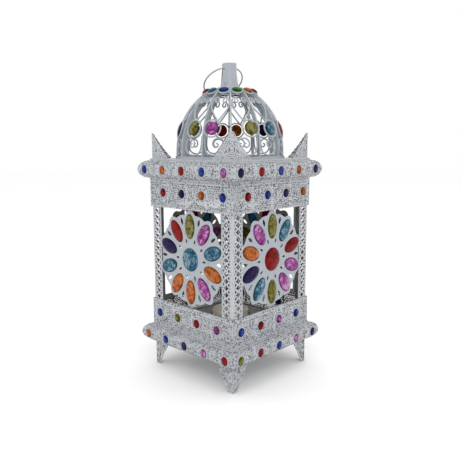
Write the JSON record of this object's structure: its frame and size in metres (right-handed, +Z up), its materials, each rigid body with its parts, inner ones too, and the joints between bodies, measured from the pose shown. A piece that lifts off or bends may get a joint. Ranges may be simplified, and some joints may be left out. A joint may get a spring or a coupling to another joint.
{
  "type": "candle lantern",
  "caption": "Square pierced white steel candle lantern with flower windows, a scrolled wire dome, a hanging ring, coloured glass jewels and a hinged back door.",
  "frame": {"origin": "centre of the square plan, level with the tips of the feet", "axes": "+Z up along the stem; -Y is the front, +Y the side with the door"},
  "size_m": [0.1988, 0.1988, 0.457],
  "materials": {
    "painted_steel": "semi-gloss white paint",
    "bright_steel": "drawn wire, lightly worn",
    "wax": "smooth wax, slightly translucent",
    "wick_cotton": "waxed braided cotton",
    "glass_red": "transparent coloured glass, polished",
    "glass_orange": "transparent coloured glass, polished",
    "glass_pink": "transparent coloured glass, polished",
    "glass_blue": "transparent coloured glass, polished",
    "glass_purple": "transparent coloured glass, polished",
    "glass_teal": "transparent coloured glass, polished",
    "glass_olive": "transparent coloured glass, polished",
    "glass_green": "transparent coloured glass, polished"
  },
  "bodies": {
    "lantern_body": {"lower_rail_front": "painted_steel", "upper_rail_front": "painted_steel", "lower_band_front": "painted_steel", "upper_band_front": "painted_steel", "flower_panel_front": "painted_steel", "lower_rail_right": "painted_steel", "upper_rail_right": "painted_steel", "lower_band_right": "painted_steel", "upper_band_right": "painted_steel", "flower_panel_right": "painted_steel", "lower_rail_back": "painted_steel", "upper_rail_back": "painted_steel", "lower_band_back": "painted_steel", "upper_band_back": "painted_steel", "lower_rail_left": "painted_steel", "upper_rail_left": "painted_steel", "lower_band_left": "painted_steel", "upper_band_left": "painted_steel", "flower_panel_left": "painted_steel", "corner_post_front_right": "painted_steel", "horn_front_right": "painted_steel", "foot_front_right": "painted_steel", "corner_post_back_right": "painted_steel", "horn_back_right": "painted_steel", "foot_back_right": "painted_steel", "corner_post_back_left": "painted_steel", "horn_back_left": "painted_steel", "foot_back_left": "painted_steel", "corner_post_front_left": "painted_steel", "horn_front_left": "painted_steel", "foot_front_left": "painted_steel", "base_plate": "painted_steel", "top_plate": "painted_steel", "dome_base_ring": "painted_steel", "dome_ribs": "painted_steel", "dome_heart_scrolls": "painted_steel", "dome_lower_scrolls": "painted_steel", "dome_jewel_rings": "painted_steel", "dome_crown": "painted_steel", "stem_tube": "painted_steel", "hinge_leaves_fixed": "painted_steel", "candle_cup": "painted_steel", "hinge_pins": "bright_steel", "latch_rivet": "bright_steel", "jewels_red": "glass_red", "jewels_orange": "glass_orange", "jewels_pink": "glass_pink", "jewels_blue": "glass_blue", "jewels_purple": "glass_purple", "jewels_teal": "glass_teal", "jewels_olive": "glass_olive", "jewels_green": "glass_green"},
    "door": {"door_panel": "painted_steel", "door_frame": "painted_steel", "door_jewels": "glass_red", "hinge_leaves_door": "painted_steel"},
    "latch": {"latch_button": "painted_steel"},
    "bail": {"bail_ring": "bright_steel"},
    "candle_body": {"candle": "wax", "wick": "wick_cotton"}
  },
  "joints": [
    {"name": "door_hinge", "type": "hinge", "parent": "lantern_body", "child": "door", "pos_m": [-0.0685, 0.086, 0.17725], "axis": [0, 0, 1], "range_deg": [0, 110]},
    {"name": "latch_turn", "type": "hinge", "parent": "lantern_body", "child": "latch", "pos_m": [0.073, 0.0855, 0.17725], "axis": [0, 1, 0], "range_deg": [0, 90]},
    {"name": "bail_swing", "type": "hinge", "parent": "lantern_body", "child": "bail", "pos_m": [0, 0, 0.45], "axis": [0.3206, 0.9472, 0], "range_deg": [0, 258]},
    {"name": "candle_lift", "type": "slide", "parent": "lantern_body", "child": "candle_body", "axis": [0, 0, 1], "range_m": [0, 0.04]}
  ]
}
